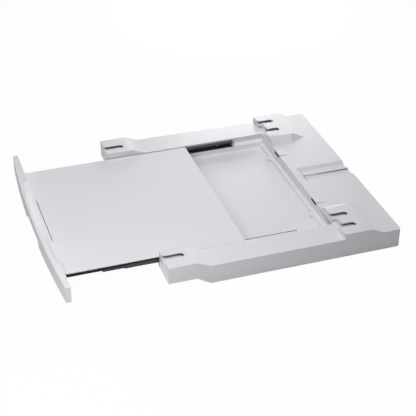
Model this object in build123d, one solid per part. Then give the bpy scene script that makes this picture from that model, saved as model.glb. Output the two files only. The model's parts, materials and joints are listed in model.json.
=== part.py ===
from build123d import *
import os

# Stacking frame that stands between a washer and a dryer, with a laundry shelf that pulls out.
# Millimetres. X runs across the front, Y from the front to the back, Z up.
# The shelf is modelled pulled out. The origin lies on the washer's top, under the middle of
# the whole piece. Lengths along Y are measured from the front of the frame's arms, and every
# piece is moved to the origin when it is written.

# Frame moulding
frame_width = 600.0
rear_deck_depth = 142.0
deck_height = 46.0
pad_rise = 14.0
skin = 3.0
corner_radius = 7.0
arm_ledge_depth = 8.0
arm_length = 66.0
arm_ramp_length = 32.0
rib_thickness = 2.5
rib_pitch = 70.0

# Recess that takes the shelf, with a ledge along each side for the runners
recess_side_margin = 71.0
recess_rear_room = 84.0
ledge_drop = 19.0
ledge_width = 10.0
ledge_rise = 6.0
rear_ledge_width = 8.0
rear_ledge_step = 5.0
rear_ledge_rise = 3.0
well_depth = 11.5
well_side_draft = 3.0
well_rear_draft = 4.0
well_fillet = 3.0
floor_thickness = 2.5

# Undercut slots that take the dryer's feet
slot_width = 16.0
slot_depth = 7.4
slot_lip = 1.6
slot_undercut = 6.0
slot_relief = 10.0
slot_relief_start = 7.0
slot_wall = 2.5
mouth_radius = 10.0
front_slot_inset = 43.0
front_slot_length = 49.0
rear_slot_length = 41.0
inner_slot_inset = 83.5
outer_slot_inset = 37.0

# Rear pads
pad_setback = 2.0
pad_flat_length = 66.0
pad_rear_slope = 29.0
pad_side_slope = 23.0
pad_width = 120.0
pad_corner_length = 40.0
pad_corner_width = 21.0
pad_crown_corner_length = 6.0
pad_crown_corner_width = 3.0
pad_step = 10.0
pad_step_half_width = 18.5

# Hose channel across the rear deck
channel_width = 66.0
channel_depth = 6.0
channel_margin = 18.0
channel_slope = 7.0
channel_rib_width = 5.0
channel_rib_height = 4.5

# Rubber buffers in the rear wall, the hoods over them and the bosses below
buffer_inset = 109.0
buffer_width = 28.0
buffer_height = 5.5
buffer_length = 9.0
buffer_gap = 0.3
hood_height = 3.0
hood_length = 30.0
hood_margin = 2.0
catch_boss_radius = 11.0
catch_boss_inset = 88.0

# Rubber plugs under the frame and the plugs that close the ledges
grip_radius = 11.0
grip_depth = 8.0
grip_inset = 30.0
grip_front = 122.0
grip_rear_margin = 28.0
end_plug_width = 6.0
end_plug_height = 4.0
end_plug_length = 7.0

# Runners: three nested C-shaped rails on each side wall of the recess, with a ball cage
# between each two. Depths are measured from the wall towards the shelf.
rail_length = 300.0
rail_overlap = 88.0
rail_front = 34.0
rail_lift = 0.3
rail_sheet = 0.8
rail_step = 1.8
rail_lip = 1.2
outer_rail_height = 14.0
outer_rail_depth = 9.9
middle_rail_depth = 8.5
inner_rail_depth = 5.5
inner_rail_reach = 12.0
ball_diameter = 1.5
ball_clearance = 0.025
ball_reach = 8.0
ball_pitch = 10.0
rail_end_cut = 4.0
rail_end_room = 6.0
middle_rail_lead = 8.0

# Ball cages and the black pieces at their ends
outer_cage_length = 120.0
inner_cage_length = 180.0
cage_sheet = 0.5
cage_rim = 0.2
cage_block_length = 6.0
cage_block_height = 7.2
cage_block_depth = 6.3
cage_block_clearance = 0.4
inner_cage_front = 36.0
outer_cage_front = 100.0

# Shelf panel
shelf_drop = 1.0
shelf_skin = 2.0
shelf_side_gap = 2.5
front_gap = 4.0
rear_gap = 1.0
shelf_wall = 3.0
shelf_rib_depth = 10.0
shelf_rib_pitch = 72.0
apron_depth = 19.0
shelf_boss_radius = 3.5
shelf_boss_length = 10.0

# Fascia
fascia_margin = 3.0
fascia_depth = 25.5
fascia_bow = 14.0
fascia_lift = 1.0
fascia_drop = 1.0
fascia_skin = 3.0
fascia_rib_pitch = 66.0
scoop_end_margin = 101.0
scoop_foot_inset = 8.0
scoop_foot_length = 2.5
scoop_rim = 5.5
scoop_rim_end = 13.0
lip_depth = 4.0
lip_gap = 0.3
finger_gap_width = 182.0
finger_gap = 1.6
gutter_depth = 6.0
grip_notch_width = 134.0
grip_notch_height = 16.0
fascia_boss_radius = 4.0
fascia_boss_length = 12.0

# Fasteners
screw_radius = 1.5
screw_length = 9.0
pan_head_radius = 3.0
pan_head_height = 1.4
flat_head_radius = 2.8
flat_head_height = 1.3
rail_screw_margin = 40.0
fascia_screw_end_margin = 122.0
fascia_screw_notch_margin = 28.0
fascia_screw_drop = 9.0
head_room_length = 8.0
head_room_clearance = 1.0
boss_radius = 4.0
boss_depth = 10.0

# All cuts run past their faces by this much
overrun = 1.0

# Levels and places that follow from the sizes above
half_width = frame_width / 2
pad_height = deck_height + pad_rise
ledge_height = deck_height - ledge_drop
rear_ledge_height = ledge_height - rear_ledge_step
floor_height = ledge_height - well_depth
arm_lift = ledge_height - arm_ledge_depth
fascia_underside = arm_lift + fascia_lift
recess_half = half_width - recess_side_margin
recess_length = rail_front + rail_length + recess_rear_room
frame_depth = recess_length + rear_deck_depth
ledge_inner = recess_half - ledge_width
floor_front = arm_length + arm_ramp_length
rear_wall_foot = recess_length - rear_ledge_width
slot_floor = pad_height - slot_depth
front_slot_offset = half_width - front_slot_inset
inner_slot_offset = half_width - inner_slot_inset
outer_slot_offset = half_width - outer_slot_inset
pad_inner_offset = half_width - pad_width
buffer_offset = recess_half - buffer_inset
catch_boss_offset = recess_half - catch_boss_inset
grip_offset = half_width - grip_inset
pad_front = recess_length + pad_setback
pad_flat_end = pad_front + pad_flat_length
pad_end = pad_flat_end + pad_rear_slope
channel_front = recess_length + channel_margin
channel_floor = deck_height - channel_depth
shelf_top = deck_height - shelf_drop
shelf_underside = shelf_top - shelf_skin
shelf_half = recess_half - shelf_side_gap
shelf_travel = rail_length - rail_overlap
shelf_length = recess_length + front_gap - rear_gap
shelf_front = -shelf_travel - front_gap
shelf_rear = shelf_front + shelf_length
fascia_top = pad_height - fascia_drop
fascia_front = shelf_front - fascia_depth
fascia_half = half_width - fascia_margin
scoop_half_width = fascia_half - scoop_end_margin
scoop_foot_half_width = scoop_half_width - scoop_foot_inset
fascia_screw_outer = fascia_half - fascia_screw_end_margin
fascia_screw_inner = grip_notch_width / 2 + fascia_screw_notch_margin
fascia_screw_places = (-fascia_screw_outer, -fascia_screw_inner, fascia_screw_inner,
                       fascia_screw_outer)
rail_screw_places = (rail_screw_margin, rail_length / 2, rail_length - rail_screw_margin)
rail_level = ledge_height + rail_lift + outer_rail_height / 2
race_gap = ball_diameter + 2 * ball_clearance
middle_height = outer_rail_height - 2 * (rail_sheet + race_gap)
inner_height = middle_height - 2 * (rail_sheet + race_gap)
beam_half = recess_half - inner_rail_reach
middle_shift = shelf_travel / 2
inner_cage_shift = 3 * shelf_travel / 4
outer_cage_shift = shelf_travel / 4
middle_rail_front = rail_front - middle_rail_lead
front_place = (fascia_front + frame_depth) / 2


def block(x0, x1, y0, y1, z0, z1):
    """Box between two corners."""
    centre = Pos((x0 + x1) / 2, (y0 + y1) / 2, (z0 + z1) / 2)
    return centre * Box(x1 - x0, y1 - y0, z1 - z0)


def both_sides(shape):
    """The shape on the right and its mirror image on the left."""
    return shape + mirror(shape, about=Plane.YZ)


def side_prism(points, x0, x1):
    """Outline in Y and Z, drawn out from x0 to x1."""
    face = make_face(Polyline(*[(x0, y, z) for y, z in points], close=True))
    return extrude(face, amount=x1 - x0, dir=(1, 0, 0))


def flat_prism(outline, z0, z1):
    """Closed outline at level z0, drawn up to z1."""
    return extrude(make_face(outline), amount=z1 - z0, dir=(0, 0, 1))


def post(x, y, z0, z1, radius):
    """Upright cylinder."""
    return Pos(x, y, (z0 + z1) / 2) * Cylinder(radius, z1 - z0)


def cross_pin(x0, x1, y, z, radius):
    """Cylinder along X."""
    return Pos((x0 + x1) / 2, y, z) * Rot(0, 90, 0) * Cylinder(radius, x1 - x0)


def long_pin(x, y0, y1, z, radius):
    """Cylinder along Y."""
    return Pos(x, (y0 + y1) / 2, z) * Rot(90, 0, 0) * Cylinder(radius, y1 - y0)


def spaced(start, end, pitch):
    """Places between start and end, evenly spaced at about the pitch."""
    count = max(int(round((end - start) / pitch)), 1)
    return [start + (end - start) * i / count for i in range(1, count)]


# Foot slots

def slot_outline(x, y0, length, width, z):
    """Slot from its mouth at y0 to a round end."""
    half = width / 2
    y1 = y0 + length - half
    left, right, tip = (x - half, y1, z), (x + half, y1, z), (x, y1 + half, z)
    return Wire([
        Line((x - half, y0, z), left),
        ThreePointArc(left, tip, right),
        Line(right, (x + half, y0, z)),
        Line((x + half, y0, z), (x - half, y0, z)),
    ])


def mouth_flare(x, y0, side, z):
    """Corner between the slot's wall and the front, cut away to a quarter round."""
    wall = x + side * slot_width / 2
    corner = (wall, y0, z)
    out = (wall + side * mouth_radius, y0, z)
    back = (wall, y0 + mouth_radius, z)
    middle = (wall + side * mouth_radius * (1 - 0.5 ** 0.5), y0 + mouth_radius * (1 - 0.5 ** 0.5), z)
    return Wire([Line(corner, out), ThreePointArc(out, middle, back), Line(back, corner)])


def foot_slot(x, y0, length, lead):
    """Everything cut away for one foot: the slot, its flared mouth, the undercut and a relief."""
    top = pad_height + overrun
    start = y0 - lead
    upper = flat_prism(slot_outline(x, start, length + lead, slot_width, slot_floor), slot_floor, top)
    wide = slot_width + 2 * slot_undercut
    lower = slot_outline(x, start, length + lead + slot_undercut, wide, slot_floor)
    under = flat_prism(lower, slot_floor, pad_height - slot_lip)
    relief_half = slot_width / 2 + slot_relief
    relief = block(x - relief_half, x + relief_half, y0 + slot_relief_start,
                   y0 + length + slot_undercut, slot_floor, pad_height - slot_lip)
    flares = [flat_prism(mouth_flare(x, y0, side, slot_floor), slot_floor, top) for side in (-1, 1)]
    return upper + under + relief + flares[0] + flares[1]


def slot_housing(x, y0, length):
    """Walls kept round one slot inside the hollow moulding."""
    half = slot_width / 2 + slot_relief + slot_wall
    end = y0 + length + slot_undercut + slot_wall
    return block(x - half, x + half, y0, end, slot_floor - slot_wall, pad_height)


def front_slots():
    return both_sides(foot_slot(front_slot_offset, 0, front_slot_length, overrun))


def rear_slots():
    inner = foot_slot(inner_slot_offset, pad_front, rear_slot_length, overrun)
    outer = foot_slot(outer_slot_offset, pad_front, rear_slot_length, overrun)
    return both_sides(inner + outer)


# Frame moulding

def rear_pad():
    """Raised pad at the right rear, sloped down at its inner side and its back."""
    inner_foot = pad_inner_offset - pad_side_slope
    corner_y = pad_end - pad_corner_length
    foot = Polyline(
        (half_width, pad_front, deck_height), (inner_foot, pad_front, deck_height),
        (inner_foot, corner_y, deck_height), (inner_foot + pad_corner_width, pad_end, deck_height),
        (half_width, pad_end, deck_height), close=True)
    crown_corner = pad_flat_end - pad_crown_corner_length
    crown = Polyline(
        (half_width, pad_front, pad_height), (pad_inner_offset, pad_front, pad_height),
        (pad_inner_offset, crown_corner, pad_height),
        (pad_inner_offset + pad_crown_corner_width, pad_flat_end, pad_height),
        (half_width, pad_flat_end, pad_height), close=True)
    return loft([make_face(foot), make_face(crown)], ruled=True)


def pad_step_cut():
    """The pad's front is set back between its two slots."""
    middle = (inner_slot_offset + outer_slot_offset) / 2
    return block(middle - pad_step_half_width, middle + pad_step_half_width,
                 pad_front - overrun, pad_front + pad_step, deck_height, pad_height + overrun)


def hood():
    """Wedge on the deck over a buffer, highest at the recess."""
    half = buffer_width / 2 + hood_margin
    wedge = [(recess_length, deck_height), (recess_length, deck_height + hood_height),
             (recess_length + hood_length, deck_height)]
    return side_prism(wedge, buffer_offset - half, buffer_offset + half)


def outer_form():
    """The moulding without its hollows."""
    profile = [(0, arm_lift), (arm_length, arm_lift), (floor_front, 0), (frame_depth, 0),
               (frame_depth, deck_height), (floor_front, deck_height), (arm_length, pad_height),
               (0, pad_height)]
    form = side_prism(profile, -half_width, half_width)
    uprights = form.edges().filter_by(Axis.Z).group_by(Axis.Y)[-1]
    form = fillet(uprights, corner_radius)
    return form + both_sides(rear_pad() - pad_step_cut()) + both_sides(hood())


def recess_cuts():
    top = pad_height + overrun
    between_arms = block(-ledge_inner, ledge_inner, -overrun, floor_front, -overrun, top)
    boss = post(catch_boss_offset, rear_wall_foot, floor_height, rear_ledge_height,
                catch_boss_radius)
    upper = block(-recess_half, recess_half, -overrun, recess_length, ledge_height, top)
    upper = upper - both_sides(ledge_ramp())
    return between_arms + (well() - both_sides(boss)) + upper + rear_ledge_cut()


def level_rectangle(half, y0, y1, z):
    return make_face(Polyline((-half, y0, z), (half, y0, z), (half, y1, z), (-half, y1, z),
                              close=True))


def well():
    """Room below the ledges, with sloping walls and a rounded foot."""
    front = floor_front - overrun
    foot = level_rectangle(ledge_inner - well_side_draft, front, rear_wall_foot - well_rear_draft,
                           floor_height)
    brim = level_rectangle(ledge_inner, front, rear_wall_foot, ledge_height)
    room = loft([foot, brim], ruled=True)
    return fillet(room.edges().group_by(Axis.Z)[0].sort_by(Axis.Y)[1:], well_fillet)


def rear_ledge_cut():
    """The rear ledge lies lower than the side ledges and rises towards the rear wall."""
    y0 = rear_wall_foot - well_rear_draft
    wedge = [(y0, rear_ledge_height), (recess_length, rear_ledge_height + rear_ledge_rise),
             (recess_length, ledge_height + overrun), (y0, ledge_height + overrun)]
    return side_prism(wedge, -ledge_inner, ledge_inner)


def ledge_ramp():
    """Behind the runner the ledge rises towards the side wall."""
    y = rail_front + rail_length + rail_end_room
    face = make_face(Polyline((ledge_inner, y, ledge_height), (recess_half, y, ledge_height),
                              (recess_half, y, ledge_height + ledge_rise), close=True))
    return extrude(face, amount=recess_length - y, dir=(0, 1, 0))


def channel_cut():
    """Channel with sloping walls that runs out at the rear, with a low rib in its middle."""
    half = channel_width / 2
    front = channel_front + channel_slope
    rear = frame_depth + overrun
    bed = level_rectangle(half - channel_slope, front, rear, channel_floor)
    brim = level_rectangle(half, channel_front, rear, deck_height)
    rib_half = channel_rib_width / 2
    rib = block(-rib_half, rib_half, front, rear, channel_floor, channel_floor + channel_rib_height)
    return loft([bed, brim], ruled=True) - rib


def buffer_pocket():
    """Pocket in the rear wall, just under the deck, that holds a rubber buffer."""
    half = buffer_width / 2
    top = shelf_top
    return block(buffer_offset - half, buffer_offset + half, recess_length - overrun,
                 recess_length + buffer_length, top - buffer_height, top)


def end_plug(y0, y1):
    """Block that fills the ledge's front end from y0 to y1."""
    middle = (ledge_inner + skin + recess_half) / 2
    top = ledge_height - skin
    return block(middle - end_plug_width / 2, middle + end_plug_width / 2, y0, y1,
                 top - end_plug_height, top)


def hollows():
    """Space inside the moulding, open at the bottom."""
    inner_side = recess_half + skin
    low = -overrun
    deck_ceiling = deck_height - skin
    side_line = [(skin, low), (skin, pad_height - skin), (arm_length, pad_height - skin),
                 (floor_front, deck_ceiling), (frame_depth - skin, deck_ceiling),
                 (frame_depth - skin, low)]
    side = side_prism(side_line, inner_side, half_width - skin)
    ledge = block(ledge_inner + skin, inner_side, skin, recess_length + skin, low,
                  ledge_height - skin)
    pad = block(pad_inner_offset + skin, half_width - skin, pad_front + pad_step + skin,
                pad_flat_end - skin, deck_ceiling, pad_height - skin)
    deck = block(-inner_side, inner_side, recess_length + skin, frame_depth - skin, low,
                 deck_ceiling)
    rear_ledge = block(-ledge_inner - skin, ledge_inner + skin, rear_wall_foot + skin,
                       recess_length + skin, low, rear_ledge_height - skin)
    under_floor = block(-ledge_inner, ledge_inner, floor_front + skin, rear_wall_foot, low,
                        floor_height - floor_thickness)
    return both_sides(side + ledge + pad) + deck + rear_ledge + under_floor


def ribs():
    """Walls that stay across the hollows."""
    half = rib_thickness / 2
    kept = []
    for y in spaced(0, frame_depth, rib_pitch):
        kept.append(block(-half_width, half_width, y - half, y + half, 0, pad_height))
    for x in [-ledge_inner] + spaced(-ledge_inner, ledge_inner, rib_pitch) + [ledge_inner]:
        kept.append(block(x - half, x + half, floor_front, frame_depth, 0, deck_height))
    middle = (recess_half + half_width) / 2
    side_rib = block(middle - half, middle + half, 0, frame_depth, 0, pad_height)
    return kept + [both_sides(side_rib)]


def kept_walls():
    """Housings and bosses that stay inside the hollows."""
    front = slot_housing(front_slot_offset, 0, front_slot_length)
    inner = slot_housing(inner_slot_offset, pad_front, rear_slot_length)
    outer = slot_housing(outer_slot_offset, pad_front, rear_slot_length)
    screw_bosses = [cross_pin(recess_half, recess_half + boss_depth, rail_front + place, rail_level,
                              boss_radius) for place in rail_screw_places]
    rear_grip = frame_depth - grip_rear_margin
    sockets = [post(grip_offset, place, 0, grip_depth + skin, grip_radius + slot_wall)
               for place in (grip_front, rear_grip)]
    half = channel_width / 2
    channel_bed = block(-half, half, channel_front, frame_depth, channel_floor - skin, deck_height)
    pocket_half = buffer_width / 2 + skin
    pocket_walls = block(buffer_offset - pocket_half, buffer_offset + pocket_half, recess_length,
                         recess_length + buffer_length + skin, shelf_top - buffer_height - skin,
                         deck_height)
    sided = [front, inner, outer, pocket_walls] + screw_bosses + sockets
    return [both_sides(piece) for piece in sided] + [channel_bed]


def flat_head_screw(face, way, y, z):
    """Screw along X, its head flush with a face. It points outwards where way is 1."""
    tip = face + way * screw_length
    shank = cross_pin(min(face, tip), max(face, tip), y, z, screw_radius)
    quarter_turn = Rot(0, way * 90, 0)
    cone = Cone(flat_head_radius, screw_radius, flat_head_height)
    return shank + Pos(face + way * flat_head_height / 2, y, z) * quarter_turn * cone


def rail_screw(place):
    """Screw through the outer rail and into the side wall."""
    return flat_head_screw(recess_half - rail_sheet, 1, rail_front + place, rail_level)


def grip_places():
    return [(side * grip_offset, y) for side in (-1, 1)
            for y in (grip_front, frame_depth - grip_rear_margin)]


def frame_moulding():
    form = outer_form() - recess_cuts() - channel_cut() - front_slots() - rear_slots()
    space = hollows()
    for piece in ribs() + kept_walls():
        space = space - piece
    form = form - space
    form = form - both_sides(buffer_pocket()) - both_sides(end_plug(-overrun, skin))
    for place in rail_screw_places:
        form = form - both_sides(rail_screw(place))
    for x, y in grip_places():
        form = form - post(x, y, -overrun, grip_depth, grip_radius)
    return form


def grip_plugs():
    return [post(x, y, 0, grip_depth, grip_radius) for x, y in grip_places()]


def ledge_end_plugs():
    plug = end_plug(0, end_plug_length)
    return [plug, mirror(plug, about=Plane.YZ)]


def shelf_buffers():
    """Rubber blocks that stop the shelf just before the rear wall."""
    half = buffer_width / 2
    face = recess_length - rear_gap + buffer_gap
    pad = block(buffer_offset - half, buffer_offset + half, face, recess_length + buffer_length,
                shelf_top - buffer_height, shelf_top)
    return [pad, mirror(pad, about=Plane.YZ)]


# Runners, all drawn on the right

def channel_rail(height, back, depth, y0, y1):
    """C-shaped rail, open towards the shelf, with lips turned in over the balls."""
    x1 = recess_half - back
    x0 = x1 - depth
    half = height / 2
    body = block(x0, x1, y0, y1, -half, half)
    inside = half - rail_sheet
    room = block(x0 + rail_sheet, x1 - rail_sheet, y0 - overrun, y1 + overrun, -inside, inside)
    mouth = inside - rail_lip
    gap = block(x0 - overrun, x1 - rail_sheet, y0 - overrun, y1 + overrun, -mouth, mouth)
    return Pos(0, 0, rail_level) * (body - room - gap)


def outer_rail():
    """Its rear end has a V-shaped notch in the web, between the two tracks."""
    y1 = rail_front + rail_length
    rail = channel_rail(outer_rail_height, 0, outer_rail_depth, rail_front, y1)
    half = outer_rail_height / 2 - rail_sheet
    notch = [(y1 - rail_end_cut, rail_level), (y1 + overrun, rail_level + half),
             (y1 + overrun, rail_level - half)]
    rail = rail - side_prism(notch, recess_half - rail_sheet - overrun, recess_half + overrun)
    for place in rail_screw_places:
        rail = rail - rail_screw(place)
    return rail


def middle_rail():
    y0 = middle_rail_front - middle_shift
    return channel_rail(middle_height, rail_step, middle_rail_depth, y0, y0 + rail_length)


def inner_rail():
    """Open towards the wall, with a tall web screwed to the shelf's beam."""
    y0 = shelf_front + shelf_wall + front_gap
    y1 = y0 + rail_length
    half = inner_height / 2
    inside = half - rail_sheet
    web_face = beam_half + rail_sheet
    body = block(beam_half, beam_half + inner_rail_depth, y0, y1, rail_level - half,
                 rail_level + half)
    room = block(web_face, beam_half + inner_rail_depth + overrun, y0 - overrun, y1 + overrun,
                 rail_level - inside, rail_level + inside)
    web = block(beam_half, web_face, y0, y1, rail_level - half, shelf_underside)
    rail = body - room + web
    for screw in beam_screws():
        rail = rail - screw
    return rail


def beam_screw_places():
    """Places along the inner rail's web, above its track."""
    y0 = shelf_front + shelf_wall + front_gap
    z = (rail_level + inner_height / 2 + shelf_underside) / 2
    return [(y0 + place, z) for place in rail_screw_places]


def beam_screws():
    return [flat_head_screw(beam_half + rail_sheet, -1, y, z) for y, z in beam_screw_places()]


def cage(height, back, y0, length, places):
    """Thin U-shaped strip between two rails, with a hole for each ball."""
    outside = height / 2 + race_gap / 2 + cage_sheet / 2
    inside = outside - cage_sheet
    x1 = cage_back(back)
    x0 = recess_half - ball_reach - ball_diameter / 2 - cage_rim
    body = block(x0, x1, y0, y0 + length, -outside, outside)
    room = block(x0 - overrun, x1 - cage_sheet, y0 - overrun, y0 + length + overrun, -inside, inside)
    strip = body - room
    hole = ball_diameter / 2 + 2 * ball_clearance
    for y in places:
        strip = strip - (Pos(recess_half - ball_reach, y, 0)
                         * Cylinder(hole, 2 * (outside + overrun)))
    return Pos(0, 0, rail_level) * strip


def cage_back(back):
    """A cage's back lies midway in the space between two rails, behind the depth given."""
    return recess_half - back + (rail_step - rail_sheet + cage_sheet) / 2


def outer_cage_place():
    return outer_cage_front - outer_cage_shift


def inner_cage_place():
    return inner_cage_front - inner_cage_shift


def outer_ball_places():
    return spaced(outer_cage_place(), outer_cage_place() + outer_cage_length, ball_pitch)


def inner_ball_places():
    return spaced(inner_cage_place(), inner_cage_place() + inner_cage_length, ball_pitch)


def balls(height, places):
    offset = height / 2 + race_gap / 2
    return [Pos(recess_half - ball_reach, y, rail_level + side * offset)
            * Sphere(ball_diameter / 2) for side in (-1, 1) for y in places]


def outer_balls():
    return balls(middle_height, outer_ball_places())


def inner_balls():
    return balls(inner_height, inner_ball_places())


def outer_cage():
    return cage(middle_height, rail_step, outer_cage_place(), outer_cage_length,
                outer_ball_places())


def inner_cage():
    return cage(inner_height, 2 * rail_step, inner_cage_place(), inner_cage_length,
                inner_ball_places())


def cage_block():
    """Black moulded end of the inner cage, open towards the shelf for the inner rail."""
    y1 = inner_cage_place()
    y0 = y1 - cage_block_length
    half = cage_block_height / 2
    x1 = cage_back(2 * rail_step)
    x0 = x1 - cage_block_depth
    body = block(x0, x1, y0, y1, -half, half)
    room_half = inner_height / 2 + cage_block_clearance
    room = block(x0 - overrun, x1 - cage_sheet, y0 - overrun, y1 + overrun, -room_half, room_half)
    return Pos(0, 0, rail_level) * (body - room)


def rail_buffer():
    """Block inside the outer rail's rear end, in front of the notch, that stops the middle rail."""
    half = outer_rail_height / 2 - rail_sheet
    x0 = recess_half - outer_rail_depth + rail_sheet
    y0 = middle_rail_front + rail_length + buffer_gap
    y1 = rail_front + rail_length - rail_end_cut
    return block(x0, recess_half - rail_sheet, y0, y1, rail_level - half, rail_level + half)


# Shelf

def shelf_panel():
    panel = block(-shelf_half, shelf_half, shelf_front, shelf_rear, shelf_underside, shelf_top)
    low = shelf_underside - shelf_rib_depth
    beam = block(beam_half - shelf_wall, beam_half, shelf_front, shelf_rear - shelf_wall, low,
                 shelf_underside)
    panel = panel + both_sides(beam)
    panel = panel + block(-beam_half, beam_half, shelf_front, shelf_front + shelf_wall,
                          shelf_underside - apron_depth, shelf_underside)
    end = shelf_rear - 2 * shelf_wall
    panel = panel + block(-beam_half, beam_half, end, end + shelf_wall, low, shelf_underside)
    half = rib_thickness / 2
    for y in spaced(shelf_front, end, shelf_rib_pitch):
        panel = panel + block(-beam_half, beam_half, y - half, y + half, low, shelf_underside)
    for x in spaced(-beam_half, beam_half, shelf_rib_pitch):
        panel = panel + block(x - half, x + half, shelf_front, end, low, shelf_underside)
    rebate = scoop_foot_half_width + lip_gap
    gap = finger_gap_width / 2
    slit_end = shelf_front + lip_depth + finger_gap
    panel = panel + block(-gap - shelf_skin, gap + shelf_skin, shelf_front, slit_end + shelf_skin,
                          shelf_underside - gutter_depth - shelf_skin, shelf_underside)
    panel = panel - block(-rebate, rebate, shelf_front - overrun, shelf_front + lip_depth,
                          shelf_underside, shelf_top + overrun)
    panel = panel - block(-gap, gap, shelf_front + shelf_wall, slit_end,
                          shelf_underside - gutter_depth, shelf_top + overrun)
    for y, z in beam_screw_places():
        boss = cross_pin(beam_half - shelf_boss_length, beam_half, y, z, shelf_boss_radius)
        panel = panel + both_sides(boss)
    for screw in beam_screws():
        panel = panel - both_sides(screw)
    seat = shelf_front + shelf_wall
    z = fascia_screw_height()
    for x in fascia_screw_places:
        panel = panel - long_pin(x, shelf_front - overrun, seat + overrun, z, screw_radius)
        panel = panel - long_pin(x, seat, seat + head_room_length, z,
                                 pan_head_radius + head_room_clearance)
    return panel


def fascia_screw_height():
    return shelf_underside - fascia_screw_drop


# Fascia

def bowed_outline(half, back, front_middle, front_end, z):
    """Straight at the back, bowed at the front."""
    left, right = (-half, front_end, z), (half, front_end, z)
    return Wire([
        Line((-half, back, z), left),
        ThreePointArc(left, (0, front_middle, z), right),
        Line(right, (half, back, z)),
        Line((half, back, z), (-half, back, z)),
    ])


def scoop():
    """Sloping hollow from the fascia's top down to the shelf."""
    back = shelf_front + overrun
    top = fascia_front + fascia_bow * (scoop_half_width / fascia_half) ** 2 + scoop_rim_end
    crown = bowed_outline(scoop_half_width, back, fascia_front + scoop_rim, top, fascia_top)
    foot_y = shelf_front - scoop_foot_length
    foot = Wire([
        Line((-scoop_foot_half_width, back, shelf_top), (-scoop_foot_half_width, foot_y, shelf_top)),
        Line((-scoop_foot_half_width, foot_y, shelf_top), (scoop_foot_half_width, foot_y, shelf_top)),
        Line((scoop_foot_half_width, foot_y, shelf_top), (scoop_foot_half_width, back, shelf_top)),
        Line((scoop_foot_half_width, back, shelf_top), (-scoop_foot_half_width, back, shelf_top)),
    ])
    return loft([make_face(foot), make_face(crown)], ruled=True)


def fascia():
    end = fascia_front + fascia_bow
    body = flat_prism(bowed_outline(fascia_half, shelf_front, fascia_front, end, fascia_underside),
                      fascia_underside, fascia_top)
    ceiling = shelf_top - fascia_skin
    room_line = bowed_outline(fascia_half - fascia_skin, shelf_front - fascia_skin,
                              fascia_front + fascia_skin, end + fascia_skin,
                              fascia_underside - overrun)
    room = flat_prism(room_line, fascia_underside - overrun, ceiling)
    z = fascia_screw_height()
    back = shelf_front - fascia_skin
    for x in fascia_screw_places:
        room = room - long_pin(x, back - fascia_boss_length, back, z, fascia_boss_radius)
    notch_half = grip_notch_width / 2
    rib_half = rib_thickness / 2
    for x in spaced(-fascia_half, fascia_half, fascia_rib_pitch):
        if abs(x) > notch_half:
            room = room - block(x - rib_half, x + rib_half, fascia_front, shelf_front,
                                fascia_underside, ceiling)
    body = body - room - scoop()
    body = body - block(-notch_half, notch_half, fascia_front - overrun, fascia_front + fascia_bow,
                        fascia_underside - overrun, fascia_underside + grip_notch_height)
    body = body + block(-scoop_foot_half_width, scoop_foot_half_width, shelf_front - fascia_skin,
                        shelf_front + lip_depth, shelf_underside, shelf_top)
    for x in fascia_screw_places:
        body = body - long_pin(x, fascia_screw_tip(), shelf_front + overrun, z, screw_radius)
    return body


def fascia_screw_tip():
    return shelf_front + shelf_wall - screw_length


# Fasteners

def fascia_screws():
    z = fascia_screw_height()
    seat = shelf_front + shelf_wall
    return [long_pin(x, fascia_screw_tip(), seat, z, screw_radius)
            + long_pin(x, seat, seat + pan_head_height, z, pan_head_radius)
            for x in fascia_screw_places]


def rail_screws():
    return [rail_screw(place) for place in rail_screw_places]


def as_list(made):
    return made if isinstance(made, list) else [made]


def placed(shapes):
    """Shapes moved so that the origin lies under the middle of the whole piece."""
    moved = [Pos(0, -front_place, 0) * shape for shape in shapes]
    solids = [solid for shape in moved for solid in shape.solids()]
    return solids[0] if len(solids) == 1 else Compound(children=solids)


single_pieces = {
    "frame_moulding": frame_moulding,
    "shelf_panel": shelf_panel,
    "fascia": fascia,
    "grip_plugs": grip_plugs,
    "ledge_end_plugs": ledge_end_plugs,
    "shelf_buffers": shelf_buffers,
    "fascia_screws": fascia_screws,
}

paired_pieces = {
    "outer_rail": outer_rail,
    "middle_rail": middle_rail,
    "inner_rail": inner_rail,
    "outer_ball_cage": outer_cage,
    "inner_ball_cage": inner_cage,
    "outer_balls": outer_balls,
    "inner_balls": inner_balls,
    "cage_end_block": cage_block,
    "rail_buffer": rail_buffer,
    "rail_screws": rail_screws,
    "beam_screws": beam_screws,
}

os.makedirs("parts", exist_ok=True)
for name, make in single_pieces.items():
    export_step(placed(as_list(make())), f"parts/{name}.step")
for name, make in paired_pieces.items():
    right = as_list(make())
    left = [mirror(shape, about=Plane.YZ) for shape in right]
    export_step(placed(right), f"parts/right_{name}.step")
    export_step(placed(left), f"parts/left_{name}.step")
print("pieces", len(single_pieces) + 2 * len(paired_pieces))
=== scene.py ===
# %% [markdown]
# This lesson dresses a stacking frame for a washer and a dryer. The frame is one large white
# moulding with a bay, and a laundry shelf slides out of the bay on black ball runners. The pieces
# come from a CAD model at their real size, and here they get what a CAD model lacks: rounded
# edges, screw recesses, ribbed rubber, and plastic and steel that look as they do in the hand.

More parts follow.
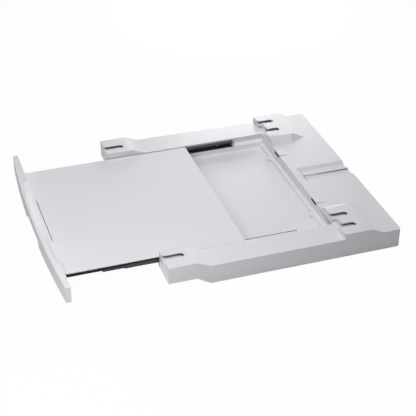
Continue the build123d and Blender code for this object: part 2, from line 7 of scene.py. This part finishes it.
# %% Load the frame
import json
import math
import bpy
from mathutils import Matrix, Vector


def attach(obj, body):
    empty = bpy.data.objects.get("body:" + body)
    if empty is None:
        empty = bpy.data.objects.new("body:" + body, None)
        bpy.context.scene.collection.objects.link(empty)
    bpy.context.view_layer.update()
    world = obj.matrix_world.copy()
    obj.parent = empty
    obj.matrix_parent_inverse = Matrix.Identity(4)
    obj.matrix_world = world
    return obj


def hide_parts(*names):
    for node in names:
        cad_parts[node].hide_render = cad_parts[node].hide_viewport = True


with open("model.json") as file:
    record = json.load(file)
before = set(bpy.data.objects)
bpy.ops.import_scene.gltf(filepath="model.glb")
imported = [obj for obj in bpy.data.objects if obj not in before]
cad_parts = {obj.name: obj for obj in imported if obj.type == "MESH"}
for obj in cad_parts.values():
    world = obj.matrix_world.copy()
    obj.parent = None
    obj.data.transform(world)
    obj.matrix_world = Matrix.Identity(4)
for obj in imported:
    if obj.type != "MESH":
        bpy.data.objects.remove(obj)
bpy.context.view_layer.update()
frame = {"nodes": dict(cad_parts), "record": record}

mm = 0.001
nodes = frame["nodes"]

# %% [markdown]
# The photograph was taken from the right of the frame and from above, with a long lens, because
# the far edge looks almost as long as the near one. An aim point, two angles, a distance and a
# focal length give the same view, and they are easier to understand than a matrix of numbers.

# %% Camera
camera_azimuth = math.radians(71.413)
camera_elevation = math.radians(32.348)
camera_distance = 2.8307
camera_aim = Vector((0.0481, 0.0160, 0.030))
camera_lens = 102.4
camera_sensor = 36.0
camera_reach = 50.0

view_direction = Vector((
    math.sin(camera_azimuth) * math.cos(camera_elevation),
    -math.cos(camera_azimuth) * math.cos(camera_elevation),
    math.sin(camera_elevation),
))
camera_data = bpy.data.cameras.new("camera")
camera_data.sensor_width = camera_sensor
camera_data.lens = camera_lens
camera_data.clip_end = camera_reach
camera = bpy.data.objects.new("camera", camera_data)
camera.location = camera_aim + view_direction * camera_distance
camera.rotation_euler = view_direction.to_track_quat("Z", "Y").to_euler()
bpy.context.scene.collection.objects.link(camera)
bpy.context.scene.camera = camera
print("camera at", [round(value, 3) for value in camera.location])

# %% [markdown]
# Small helpers come first. Loading leaves every CAD piece selected, and an operator works on
# everything that is selected, so each step starts from an empty selection.


# %% Selection helpers
def deselect_all():
    if bpy.context.mode != "OBJECT":
        bpy.ops.object.mode_set(mode="OBJECT")
    bpy.ops.object.select_all(action="DESELECT")


def activate(piece):
    deselect_all()
    piece.select_set(True)
    bpy.context.view_layer.objects.active = piece


def set_material(piece, material):
    piece.data.materials.clear()
    piece.data.materials.append(material)


deselect_all()

# %% [markdown]
# The floor and the world share three shader parts. The first empties a node tree, the second
# finds the rays that show the background to the camera, in a reflection or through glass, and the
# third mixes two shaders by them.


# %% Background helpers
def new_tree(owner):
    """Empty node tree of a material or a world."""
    owner.use_nodes = True
    owner.node_tree.nodes.clear()
    return owner.node_tree


def seen_directly(tree):
    """1 for rays that show the background, and 0 for rays that only carry light."""
    light_path = tree.nodes.new("ShaderNodeLightPath")
    result = light_path.outputs["Is Camera Ray"]
    for kind in ("Is Glossy Ray", "Is Transmission Ray"):
        either = tree.nodes.new("ShaderNodeMath")
        either.operation = "MAXIMUM"
        tree.links.new(result, either.inputs[0])
        tree.links.new(light_path.outputs[kind], either.inputs[1])
        result = either.outputs[0]
    return result


def mix_into(output, tree, factor, first, second):
    """Mixes two shaders into the surface of an output node."""
    mix = tree.nodes.new("ShaderNodeMixShader")
    tree.links.new(factor, mix.inputs["Fac"])
    tree.links.new(first.outputs[0], mix.inputs[1])
    tree.links.new(second.outputs[0], mix.inputs[2])
    tree.links.new(mix.outputs[0], output.inputs["Surface"])


# %% [markdown]
# The object stands on a white ground without a horizon. A white floor lit by the same lamps would
# be grey at its far end, so the floor shows the camera and reflections mostly plain white. That
# white casts no diffuse light on the object. A small share of the floor's own shading stays, with
# the soft shadow.

# %% Floor
floor_size = 14.0
floor_drop = 0.5 * mm
floor_white = (0.86, 0.86, 0.86, 1.0)
background_strength = 1.0
background_share = 0.97

floor_material = bpy.data.materials.new("studio_floor")
tree = new_tree(floor_material)
output = tree.nodes.new("ShaderNodeOutputMaterial")
diffuse = tree.nodes.new("ShaderNodeBsdfDiffuse")
diffuse.inputs["Color"].default_value = floor_white
glow = tree.nodes.new("ShaderNodeEmission")
glow.inputs["Strength"].default_value = background_strength
share = tree.nodes.new("ShaderNodeMath")
share.operation = "MULTIPLY"
share.inputs[1].default_value = background_share
tree.links.new(seen_directly(tree), share.inputs[0])
mix_into(output, tree, share.outputs[0], diffuse, glow)

bpy.ops.mesh.primitive_plane_add(size=floor_size, location=(0, 0, -floor_drop))
floor = bpy.context.object
floor.name = "studio_floor"
bpy.ops.object.transform_apply(location=True, rotation=True, scale=True)
set_material(floor, floor_material)
print("floor", floor_size, "m wide")

# %% [markdown]
# The world is bright only where it is seen. As light on the object it is a faint fill, so the soft
# boxes shape the faces.

# %% World
fill_strength = 0.02

world = bpy.data.worlds.new("studio")
bpy.context.scene.world = world
tree = new_tree(world)
output = tree.nodes.new("ShaderNodeOutputWorld")
fill = tree.nodes.new("ShaderNodeBackground")
fill.inputs["Strength"].default_value = fill_strength
white = tree.nodes.new("ShaderNodeBackground")
white.inputs["Strength"].default_value = background_strength
mix_into(output, tree, seen_directly(tree), fill, white)

bpy.context.scene.view_settings.view_transform = "Standard"
print("world fill", fill_strength)

# %% [markdown]
# Product pictures like this one use large soft boxes. The main one hangs straight above, and a
# weak one stands in front. Two low boxes stand at the far left and graze the faces that tilt to the
# rear, such as the ramps behind the arms. Small boxes at the front right light the near side. They
# are close, so that side fades towards the back. No lamp shows itself to the camera. Each row of
# the table gives a lamp's name, place, aim, width and power in watts.


# %% Lamps
def soft_box(name, place, aim, size, power):
    data = bpy.data.lights.new(name, "AREA")
    data.shape = "SQUARE"
    data.size = size
    data.energy = power
    lamp = bpy.data.objects.new(name, data)
    lamp.location = place
    lamp.rotation_euler = (Vector(aim) - Vector(place)).to_track_quat("-Z", "Y").to_euler()
    lamp.visible_camera = False
    bpy.context.scene.collection.objects.link(lamp)


middle = (0.0, 0.0, 0.0)
left_aim = (0.1, -0.1, 0.0)
right_aim = (0.2, -0.1, 0.0)
near_side_aim = (0.25, -0.1, 0.0)
lamps = [
    ("overhead_box", (0.0, 0.0, 2.0), middle, 1.6, 25.0),
    ("front_box", (0.0, -0.7, 0.9), middle, 0.6, 1.0),
    ("left_grazing_box", (-1.3, 0.5, 0.2), left_aim, 0.4, 4.6),
    ("left_rear_box", (-1.2, 0.65, 0.35), left_aim, 0.6, 2.6),
    ("front_right_box", (0.8, -0.7, 0.7), right_aim, 0.5, 2.7),
    ("low_right_box", (0.75, -0.55, 0.4), near_side_aim, 0.3, 0.9),
]
for lamp in lamps:
    soft_box(*lamp)
print("lamps:", len(lamps))

# %% [markdown]
# Every material here is made of the same few steps: noise on object coordinates, a range that the
# noise is mapped onto, a blend of two colours and a bump. One class holds a material's nodes and
# offers these steps by name.


# %% Material graph
class Graph:
    """Adds nodes to a new material and links them by name."""

    def __init__(self, name):
        self.material = bpy.data.materials.new(name)
        self.material.use_nodes = True
        self.tree = self.material.node_tree
        self.shader = self.tree.nodes["Principled BSDF"]
        self.place = self.tree.nodes.new("ShaderNodeTexCoord").outputs["Object"]

    def node(self, kind, **values):
        made = self.tree.nodes.new("ShaderNode" + kind)
        for key, value in values.items():
            setattr(made, key, value)
        return made

    def link(self, start, end):
        self.tree.links.new(start, end)

    def noise(self, scale, detail=2.0, stretch=(1.0, 1.0, 1.0)):
        mapping = self.node("Mapping")
        mapping.inputs["Scale"].default_value = stretch
        texture = self.node("TexNoise")
        texture.inputs["Scale"].default_value = scale
        texture.inputs["Detail"].default_value = detail
        self.link(self.place, mapping.inputs["Vector"])
        self.link(mapping.outputs[0], texture.inputs["Vector"])
        return texture.outputs["Fac"]

    def spread(self, source, low, high, start=0.3, end=0.7):
        """Maps a noise value onto a range."""
        mapped = self.node("MapRange")
        mapped.inputs["From Min"].default_value = start
        mapped.inputs["From Max"].default_value = end
        mapped.inputs["To Min"].default_value = low
        mapped.inputs["To Max"].default_value = high
        self.link(source, mapped.inputs["Value"])
        return mapped.outputs[0]

    def blend(self, factor, first, second):
        """Blends two colours. Sockets of a mix node share names, so they go by number."""
        factor_in, first_in, second_in, colour_out = 0, 6, 7, 2
        mixed = self.node("Mix", data_type="RGBA")
        for socket, value in ((mixed.inputs[first_in], first), (mixed.inputs[second_in], second)):
            if isinstance(value, tuple):
                socket.default_value = value + (1.0,)
            else:
                self.link(value, socket)
        self.link(factor, mixed.inputs[factor_in])
        return mixed.outputs[colour_out]

    def product(self, first, second):
        joined = self.node("Math", operation="MULTIPLY")
        self.link(first, joined.inputs[0])
        self.link(second, joined.inputs[1])
        return joined.outputs[0]

    def bump(self, height, distance, strength=1.0, normal=None):
        bump = self.node("Bump")
        bump.inputs["Distance"].default_value = distance
        bump.inputs["Strength"].default_value = strength
        self.link(height, bump.inputs["Height"])
        if normal is not None:
            self.link(normal, bump.inputs["Normal"])
        return bump.outputs[0]

    def gap_shade(self, reach, open_share=0.4, closed_share=0.1):
        """Near 1 deep in gaps narrower than the reach, and 0 on open faces. It masks painted shade.
        """
        occlusion = self.node("AmbientOcclusion", samples=8, only_local=True)
        occlusion.inputs["Distance"].default_value = reach
        return self.spread(occlusion.outputs["AO"], 1.0, 0.0, closed_share, open_share)

    def worn_edges(self, start=0.52, end=0.6):
        """Near 1 on outer edges and near 0 on flat faces."""
        pointiness = self.node("NewGeometry").outputs["Pointiness"]
        return self.spread(pointiness, 0.0, 1.0, start, end)


def shaded(tint, share):
    """The same colour, lighter or darker."""
    return tuple(value * share for value in tint)


# %% [markdown]
# Injection-moulded plastic is nearly one colour, but not quite. The tool leaves a fine grain, the
# tone and the gloss drift a little over a large face, and things that slide on it leave faint
# scuffs. Noise textures on object coordinates give all of these at their real scale. Outer edges,
# that hands and feet rub, are a little lighter. Narrow gaps and deep slots get painted shade: their
# colour is darkened where ambient occlusion finds them closed in.


# %% White plastic
white_tint = (0.795, 0.795, 0.832)
cloud_share = 0.985
scuff_share = 0.95
rubbed_share = 1.03
lightest = 0.9
# Share of the tint that is left in the painted shade of narrow gaps.
crevice_shade_share = 0.1
crevice_reach = 12.0 * mm
smoother, rougher = 0.025, 0.03
wave_depth = 0.12 * mm
plastic_ior = 1.49


def moulded_white(name, roughness, grain_size, grain_depth, edge_radius):
    graph = Graph(name)
    drift = graph.noise(scale=5.0, detail=3.0)
    cloudy = graph.blend(graph.spread(drift, 0.0, 1.0), white_tint, shaded(white_tint, cloud_share))
    scratches = graph.noise(scale=60.0, detail=6.0, stretch=(1.0, 0.12, 1.0))
    scuffs = graph.spread(scratches, low=0.0, high=0.25, start=0.62, end=0.78)
    marked = graph.blend(scuffs, cloudy, shaded(white_tint, scuff_share))
    rubbed = tuple(min(value, lightest) for value in shaded(white_tint, rubbed_share))
    wear = graph.product(graph.worn_edges(), graph.spread(drift, low=0.2, high=0.6))
    colour = graph.blend(wear, marked, rubbed)
    # Painted shade: the colour darkens deep in narrow gaps, in place of the shadow there.
    colour = graph.blend(graph.gap_shade(crevice_reach), colour, shaded(white_tint, crevice_shade_share))
    graph.link(colour, graph.shader.inputs["Base Color"])
    grain = graph.noise(scale=1.0 / grain_size, detail=1.5)
    patches = graph.noise(scale=14.0, detail=4.0)
    rough = graph.spread(patches, roughness - smoother, roughness + rougher, start=0.15, end=0.85)
    graph.link(rough, graph.shader.inputs["Roughness"])
    soft_edges = graph.node("Bevel", samples=6)
    soft_edges.inputs["Radius"].default_value = edge_radius
    soft_waves = graph.bump(graph.noise(scale=18.0, detail=1.0), wave_depth, strength=0.5,
                            normal=soft_edges.outputs[0])
    graph.link(graph.bump(grain, grain_depth, strength=0.6, normal=soft_waves),
               graph.shader.inputs["Normal"])
    graph.shader.inputs["IOR"].default_value = plastic_ior
    return graph.material


white_moulding = moulded_white("white_moulding", roughness=0.3, grain_size=0.7 * mm,
                               grain_depth=0.04 * mm, edge_radius=1.6 * mm)
white_shelf = moulded_white("white_shelf", roughness=0.58, grain_size=1.1 * mm,
                            grain_depth=0.02 * mm, edge_radius=1.0 * mm)
print("made", white_moulding.name, "and", white_shelf.name)

# %% [markdown]
# The runners are cold-rolled steel with a black coat. Sliding has rubbed the coat thin along the
# length of the rails, so long streaks are a little smoother and greyer.


# %% Runner steel and fasteners
coat_drift = 0.08
speckle_depth = 0.02 * mm
coated_metal_share = 0.35
plated_drift = (0.06, 0.08)
plated_shade = 0.82
mottle_depth = 0.01 * mm


def coated_steel(name, coat, bare, roughness):
    graph = Graph(name)
    streaks = graph.noise(scale=260.0, detail=4.0, stretch=(1.0, 0.015, 1.0))
    rubbed = graph.spread(streaks, low=0.0, high=0.45, start=0.55, end=0.75)
    speckle = graph.noise(scale=900.0, detail=2.0)
    colour = graph.blend(rubbed, coat, bare)
    graph.link(colour, graph.shader.inputs["Base Color"])
    graph.link(graph.spread(streaks, roughness + coat_drift, roughness - coat_drift),
               graph.shader.inputs["Roughness"])
    graph.link(graph.bump(speckle, speckle_depth, strength=0.5), graph.shader.inputs["Normal"])
    graph.shader.inputs["Metallic"].default_value = coated_metal_share
    return graph.material


def plated_steel(name, tint, roughness, grain):
    graph = Graph(name)
    mottle = graph.noise(scale=grain, detail=3.0)
    colour = graph.blend(graph.spread(mottle, 0.0, 1.0), tint, shaded(tint, plated_shade))
    graph.link(colour, graph.shader.inputs["Base Color"])
    graph.link(graph.spread(mottle, roughness - plated_drift[0], roughness + plated_drift[1]),
               graph.shader.inputs["Roughness"])
    graph.link(graph.bump(mottle, mottle_depth, strength=0.4), graph.shader.inputs["Normal"])
    graph.shader.inputs["Metallic"].default_value = 1.0
    return graph.material


black_steel = coated_steel("black_steel", coat=(0.05, 0.05, 0.053), bare=(0.16, 0.16, 0.165),
                           roughness=0.42)
zinc_steel = plated_steel("zinc_steel", tint=(0.62, 0.63, 0.64), roughness=0.34, grain=700.0)
ball_steel = plated_steel("ball_steel", tint=(0.72, 0.72, 0.74), roughness=0.14, grain=300.0)
print("made", black_steel.name, zinc_steel.name, "and", ball_steel.name)

# %% [markdown]
# Rubber and black plastic look alike in a photograph. Rubber is duller, with a dusty bloom in
# soft patches. The plastic is cleaner, with a coarser grain and a slight sheen.


# %% Rubber and black plastic
dull_drift = 0.06
dull_depth = 0.03 * mm


def dull_black(name, tint, bloom, bloom_share, roughness, grain_size):
    graph = Graph(name)
    dust = graph.spread(graph.noise(scale=55.0, detail=5.0), low=0.0, high=bloom_share,
                        start=0.45, end=0.75)
    graph.link(graph.blend(dust, tint, bloom), graph.shader.inputs["Base Color"])
    patches = graph.noise(scale=40.0, detail=3.0)
    graph.link(graph.spread(patches, roughness - dull_drift, roughness + dull_drift),
               graph.shader.inputs["Roughness"])
    grain = graph.noise(scale=1.0 / grain_size, detail=2.0)
    graph.link(graph.bump(grain, dull_depth, strength=0.6), graph.shader.inputs["Normal"])
    return graph.material


black_rubber = dull_black("black_rubber", tint=(0.018, 0.018, 0.018), bloom=(0.07, 0.07, 0.068),
                          bloom_share=0.6, roughness=0.82, grain_size=0.35 * mm)
black_plastic = dull_black("black_plastic", tint=(0.022, 0.022, 0.024), bloom=(0.05, 0.05, 0.052),
                           bloom_share=0.3, roughness=0.5, grain_size=0.5 * mm)
print("made", black_rubber.name, "and", black_plastic.name)

# %% [markdown]
# Each CAD piece names the finish that it has on the real object, so one table of names is enough
# to dress all pieces. Copies that are made of them later keep their finish.

# %% Dress the CAD pieces
finishes = {
    "white_moulding": white_moulding,
    "white_shelf": white_shelf,
    "black_steel": black_steel,
    "zinc_steel": zinc_steel,
    "ball_steel": ball_steel,
    "black_rubber": black_rubber,
    "black_plastic": black_plastic,
}
slot_of_node = {part["node"]: part["material_slot"] for part in frame["record"]["subparts"]}
for name, piece in nodes.items():
    set_material(piece, finishes[slot_of_node[name]])
print("dressed", len(nodes), "pieces")

# %% [markdown]
# CAD edges are knife sharp, and no moulded part has such edges. Plastic can't fill a sharp corner,
# and a steel tool is never perfectly sharp either. A copy of each moulding is merged, its flat
# faces are cleaned, and its edges get a small round. The ribs of an underside form one flat grid
# with many holes, which can't be one clean face, so faces that look down keep their triangles.


# %% Merging and rounding
merge_distance = 0.002 * mm
flat_angle = math.radians(0.5)
looks_down = -0.9
round_angle = math.radians(32.0)
round_segments = 2
smooth_angle = math.radians(50.0)


def merged_copy(node):
    """Copy of a CAD piece with shared corners and clean flat faces."""
    activate(nodes[node])
    bpy.ops.object.duplicate()
    piece = bpy.context.object
    piece.name = "detailed_" + node
    activate(piece)
    bpy.context.tool_settings.mesh_select_mode = (False, False, True)
    bpy.ops.object.mode_set(mode="EDIT")
    bpy.ops.mesh.select_all(action="SELECT")
    bpy.ops.mesh.remove_doubles(threshold=merge_distance)
    bpy.ops.mesh.select_all(action="DESELECT")
    bpy.ops.object.mode_set(mode="OBJECT")
    for face in piece.data.polygons:
        face.select = face.normal.z > looks_down
    bpy.ops.object.mode_set(mode="EDIT")
    bpy.ops.mesh.dissolve_limited(angle_limit=flat_angle)
    bpy.ops.object.mode_set(mode="OBJECT")
    return piece


def round_edges(piece, radius, marked_only=False):
    """Rounds sharp edges, or only the marked ones, and smooths the shading over the rounds."""
    bevel = piece.modifiers.new("edge_round", "BEVEL")
    bevel.width = radius
    bevel.segments = round_segments
    bevel.limit_method = "WEIGHT" if marked_only else "ANGLE"
    bevel.angle_limit = round_angle
    bevel.miter_outer = "MITER_ARC"
    bevel.use_clamp_overlap = True
    activate(piece)
    bpy.ops.object.modifier_apply(modifier=bevel.name)
    bpy.ops.object.shade_smooth_by_angle(angle=smooth_angle, keep_sharp_edges=True)
    flatten = piece.modifiers.new("even_shading", "WEIGHTED_NORMAL")
    flatten.keep_sharp = True
    bpy.ops.object.modifier_apply(modifier=flatten.name)
    print(piece.name, "faces:", len(piece.data.polygons))


# %% [markdown]
# On the mouldings only the edges around faces that look up are rounded, so the ribs stay crisp.
# Shallow creases, such as those around the ramps, are marked sharp, or the shading would run over
# them and each face would lose its own tone.


# %% Rounded mouldings
crease_angle = math.radians(11.5)
steep = 0.3
moulding_radii = {"frame_moulding": 1.0 * mm, "shelf_panel": 0.6 * mm, "fascia": 1.0 * mm}


def mark_upper_edges(piece):
    """Weighs the sharp edges that border a face looking up and none looking down.

    Other edges that turn more than a curve's facets stay crisp creases.
    """
    mesh = piece.data
    normals_at = {}
    for face in mesh.polygons:
        for key in face.edge_keys:
            normals_at.setdefault(key, []).append(face.normal)
    weights = mesh.attributes.new("bevel_weight_edge", "FLOAT", "EDGE")
    marked = 0
    for edge in mesh.edges:
        normals = normals_at.get(edge.key, [])
        if len(normals) != 2:
            continue
        turn = normals[0].angle(normals[1], 0.0)
        heights = [normal.z for normal in normals]
        if turn >= round_angle and min(heights) > -steep and max(heights) > steep:
            weights.data[edge.index].value = 1.0
            marked += 1
        elif turn > crease_angle:
            edge.use_edge_sharp = True
    print(piece.name, "marked edges:", marked)


for node, radius in moulding_radii.items():
    piece = merged_copy(node)
    mark_upper_edges(piece)
    round_edges(piece, radius, marked_only=True)
    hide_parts(node)

# %% [markdown]
# The rails are rolled from thin steel strip, so their folds are round and their cut ends are
# deburred. The same rounding with a smaller radius gives both. The black moulded ends of the cages
# get it too.

# %% Rounded runner pieces
runner_radii = {
    "outer_rail": 0.3 * mm,
    "middle_rail": 0.3 * mm,
    "inner_rail": 0.3 * mm,
    "cage_end_block": 0.5 * mm,
}
sides = ("left", "right")
for side in sides:
    for kind, radius in runner_radii.items():
        piece = merged_copy(f"{side}_{kind}")
        round_edges(piece, radius)
        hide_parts(f"{side}_{kind}")

# %% [markdown]
# Small parts are easier to model once, upright at the origin, than many times in place. These
# helpers read where the CAD model has them, and set copies of one master at all the places.


# %% Places and copies of small parts
body_of_node = {node: body for body, members in frame["record"]["behaviour"]["bodies"].items()
                for node in members}


def part_boxes(node):
    """Low and high corner of each separate part of a CAD piece."""
    copy = merged_copy(node)
    activate(copy)
    bpy.ops.object.mode_set(mode="EDIT")
    bpy.ops.mesh.select_all(action="SELECT")
    bpy.ops.mesh.separate(type="LOOSE")
    bpy.ops.object.mode_set(mode="OBJECT")
    parts = list(bpy.context.selected_objects)
    boxes = []
    for part in parts:
        places = [vertex.co for vertex in part.data.vertices]
        low = Vector([min(place[i] for place in places) for i in range(3)])
        high = Vector([max(place[i] for place in places) for i in range(3)])
        boxes.append((low, high))
    bpy.ops.object.delete()
    return sorted(boxes, key=lambda box: tuple(box[0]))


def set_copies(master, name, places, turn=(0.0, 0.0, 0.0)):
    """One object made of copies of the master, turned alike, one at each place."""
    copies = []
    for place in places:
        activate(master)
        bpy.ops.object.duplicate()
        copy = bpy.context.object
        copy.rotation_euler = turn
        copy.location = place
        bpy.ops.object.transform_apply(location=True, rotation=True, scale=True)
        copies.append(copy)
    deselect_all()
    for copy in copies:
        copy.select_set(True)
    bpy.context.view_layer.objects.active = copies[0]
    bpy.ops.object.join()
    joined = bpy.context.object
    joined.name = name
    return joined


def remove(piece):
    activate(piece)
    bpy.ops.object.delete()


def box_middle(box):
    return (box[0] + box[1]) / 2


def stand_in_for(piece, node, material):
    """Gives a new piece its finish, hangs it on the body of the CAD piece and hides the CAD piece.
    """
    set_material(piece, material)
    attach(piece, body_of_node[node])
    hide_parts(node)


# %% [markdown]
# Screws and plugs are round, so each one is a profile turned about its axis. The profile is a list
# of rings, each with a radius and a height in millimetres, and every ring is extruded from the one
# before it.


# %% Turned solids
smooth_turned_angle = math.radians(35.0)


def in_metres(rings):
    return [(radius * mm, height * mm) for radius, height in rings]


def turned(name, rings, around=32):
    """Round solid about Z. Each ring is a radius and a height, from one end to the other."""
    deselect_all()
    radius, height = rings[0]
    bpy.ops.mesh.primitive_circle_add(vertices=around, radius=radius, fill_type="NGON",
                                      location=(0, 0, height))
    piece = bpy.context.object
    piece.name = name
    bpy.ops.object.transform_apply(location=True, rotation=True, scale=True)
    bpy.ops.object.mode_set(mode="EDIT")
    bpy.ops.mesh.select_all(action="SELECT")
    for next_radius, next_height in rings[1:]:
        rise = (0, 0, next_height - height)
        bpy.ops.mesh.extrude_region_move(TRANSFORM_OT_translate={"value": rise})
        factor = next_radius / radius
        bpy.ops.transform.resize(value=(factor, factor, 1.0), center_override=(0, 0, next_height))
        radius, height = next_radius, next_height
    bpy.ops.mesh.select_all(action="SELECT")
    bpy.ops.mesh.normals_make_consistent(inside=False)
    bpy.ops.object.mode_set(mode="OBJECT")
    return piece


# %% [markdown]
# The screws have a cross recess, a chamfered tip and a ridged shank. Two masters serve all sixteen:
# a pan head that holds the fascia, and a countersunk head that sits flush in the rails. Here radii
# and heights are in millimetres, and the head's top is at height zero.


# %% Screws
shank_radius = 1.5
thread_pitch = 0.8
thread_root = 0.82
shank_neck = 0.98
tip_rings = (0.4, 0.8)
cross_bar_share = 0.22
pan_tip, pan_neck = -10.4, -1.4
pan_head = [(2.85, -1.4), (3.0, -1.25), (3.0, -0.8), (2.75, -0.4), (2.1, -0.1), (1.4, 0.0)]
pan_cross_width, pan_cross_depth = 2.9 * mm, 1.0 * mm
flat_tip, flat_neck = -9.0, -1.3
flat_head = [(2.7, -0.1), (2.7, -0.04), (2.6, 0.0)]
flat_cross_width, flat_cross_depth = 2.7 * mm, 0.9 * mm


def ridged_shank(start, end):
    """Rings for a screw's tip and thread. The thread is drawn as ridges."""
    rings = [(share * shank_radius, start + step * thread_pitch)
             for step, share in enumerate(tip_rings)]
    height = start + 1.5 * thread_pitch
    while height < end - thread_pitch:
        rings += [(shank_radius, height), (thread_root * shank_radius, height + thread_pitch / 2)]
        height += thread_pitch
    return rings + [(shank_neck * shank_radius, height), (shank_neck * shank_radius, end)]


def cut_cross(piece, width, depth):
    """Cuts a cross recess into the head's top, at height zero, with two thin bars."""
    for angle in (0.0, 90.0):
        bpy.ops.mesh.primitive_cube_add(size=1.0, location=(0, 0, 0),
                                        rotation=(0, 0, math.radians(angle)),
                                        scale=(width, cross_bar_share * width, 2 * depth))
        bar = bpy.context.object
        bpy.ops.object.transform_apply(location=True, rotation=True, scale=True)
        cut = piece.modifiers.new("recess", "BOOLEAN")
        cut.operation = "DIFFERENCE"
        cut.solver = "EXACT"
        cut.object = bar
        activate(piece)
        bpy.ops.object.modifier_apply(modifier=cut.name)
        remove(bar)
    activate(piece)
    bpy.ops.object.shade_smooth_by_angle(angle=smooth_turned_angle)


pan_screw = turned("pan_screw", in_metres(ridged_shank(pan_tip, pan_neck) + pan_head))
cut_cross(pan_screw, pan_cross_width, pan_cross_depth)
flat_screw = turned("flat_screw", in_metres(ridged_shank(flat_tip, flat_neck) + flat_head))
cut_cross(flat_screw, flat_cross_width, flat_cross_depth)
print("screw masters:", pan_screw.name, "and", flat_screw.name)

# %% [markdown]
# A copy of the right master goes to each screw of the CAD model. Its head lies where the CAD head
# ends, and it is turned to face the way that the screwdriver comes from.

# %% Screws in place
screw_jobs = [("fascia_screws", pan_screw, Vector((0, 1, 0)))]
for side, way in (("left", -1.0), ("right", 1.0)):
    screw_jobs.append((f"{side}_rail_screws", flat_screw, Vector((-way, 0, 0))))
    screw_jobs.append((f"{side}_beam_screws", flat_screw, Vector((way, 0, 0))))
for node, master, facing in screw_jobs:
    heads = []
    for low, high in part_boxes(node):
        half_size = (high - low) / 2
        reach = Vector([facing[i] * half_size[i] for i in range(3)])
        heads.append(box_middle((low, high)) + reach)
    turn = facing.to_track_quat("Z", "Y").to_euler()
    piece = set_copies(master, "detailed_" + node, heads, turn)
    stand_in_for(piece, node, zinc_steel)
    print(node, len(heads))
remove(pan_screw)
remove(flat_screw)

# %% [markdown]
# The balls are true spheres. The CAD mesh has few facets on them, so each one is replaced by a
# smooth sphere a hair smaller than its track.

# %% Balls
ball_radius = 0.748 * mm

bpy.ops.mesh.primitive_uv_sphere_add(segments=20, ring_count=12, radius=ball_radius)
ball = bpy.context.object
activate(ball)
bpy.ops.object.shade_smooth()
for side in sides:
    for kind in ("outer_balls", "inner_balls"):
        node = f"{side}_{kind}"
        piece = set_copies(ball, "detailed_" + node, [box_middle(box) for box in part_boxes(node)])
        stand_in_for(piece, node, ball_steel)
        print(node, len(piece.data.polygons), "faces")
remove(ball)

# %% [markdown]
# The grip plugs are rubber discs pressed into the frame's underside. Ring grooves let the rubber
# bite into the washer's enamel, and a chamfer keeps the edge from peeling.

# %% Grip plugs
plug_rings = [(10.4, 8.0), (10.95, 7.5), (10.95, 0.8), (10.2, 0.0), (9.0, 0.0), (8.6, 0.9),
              (7.6, 0.9), (7.2, 0.0), (5.8, 0.0), (5.4, 0.9), (4.4, 0.9), (4.0, 0.0), (2.6, 0.0),
              (2.2, 0.9), (1.2, 0.9)]

plug = turned("plug", in_metres(plug_rings), around=48)
activate(plug)
bpy.ops.object.shade_smooth_by_angle(angle=smooth_turned_angle)
plug_places = [(box_middle(box).x, box_middle(box).y, 0.0) for box in part_boxes("grip_plugs")]
piece = set_copies(plug, "detailed_grip_plugs", plug_places)
stand_in_for(piece, "grip_plugs", black_rubber)
remove(plug)
print("grip plugs", len(plug_places))

# %% [markdown]
# The rubber buffers have shallow pockets in the face that meets the shelf or the rail, so that the
# ribs between them squash softly. The plugs in the ledges are hollow in front, like any small
# moulded plug. Each row of the table names a CAD piece, its pockets across and up, the width of
# the ribs between them, the depth and the finish.


# %% Buffers and end plugs
same_face = 0.01 * mm
soft_radius = 0.25 * mm


def cut_pockets(piece, depth, x_spans, z_spans):
    """Pushes parts of the faces that look to the front inwards."""
    activate(piece)
    bpy.context.tool_settings.mesh_select_mode = (False, False, True)
    bpy.ops.object.mode_set(mode="EDIT")
    for spans, axis in ((x_spans, Vector((1, 0, 0))), (z_spans, Vector((0, 0, 1)))):
        for place in [end for span in spans for end in span]:
            bpy.ops.mesh.select_all(action="SELECT")
            bpy.ops.mesh.bisect(plane_co=axis * place, plane_no=axis)
    bpy.ops.mesh.select_all(action="DESELECT")
    bpy.ops.object.mode_set(mode="OBJECT")
    front = min(vertex.co.y for vertex in piece.data.vertices)
    for face in piece.data.polygons:
        in_x = any(low < face.center.x < high for low, high in x_spans)
        in_z = any(low < face.center.z < high for low, high in z_spans)
        face.select = in_x and in_z and face.center.y < front + same_face
    bpy.ops.object.mode_set(mode="EDIT")
    bpy.ops.mesh.extrude_region_move(TRANSFORM_OT_translate={"value": (0, depth, 0)})
    bpy.ops.object.mode_set(mode="OBJECT")


def pocket_spans(low, high, count, rib):
    """Spans between ribs that share a length evenly, with a rib at each end."""
    pocket = (high - low - (count + 1) * rib) / count
    return [(low + rib + i * (pocket + rib), low + (i + 1) * (pocket + rib)) for i in range(count)]


pocket_jobs = [("shelf_buffers", 7, 1, 1.2 * mm, 1.0 * mm, black_rubber),
               ("left_rail_buffer", 2, 3, 1.1 * mm, 0.8 * mm, black_rubber),
               ("right_rail_buffer", 2, 3, 1.1 * mm, 0.8 * mm, black_rubber),
               ("ledge_end_plugs", 1, 1, 0.9 * mm, 1.5 * mm, black_plastic)]
for node, across, up, rib, depth, material in pocket_jobs:
    boxes = part_boxes(node)
    piece = merged_copy(node)
    x_spans = [span for low, high in boxes for span in pocket_spans(low.x, high.x, across, rib)]
    first_low, first_high = boxes[0]
    z_spans = pocket_spans(first_low.z, first_high.z, up, rib)
    cut_pockets(piece, depth, x_spans, z_spans)
    round_edges(piece, soft_radius)
    set_material(piece, material)
    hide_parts(node)
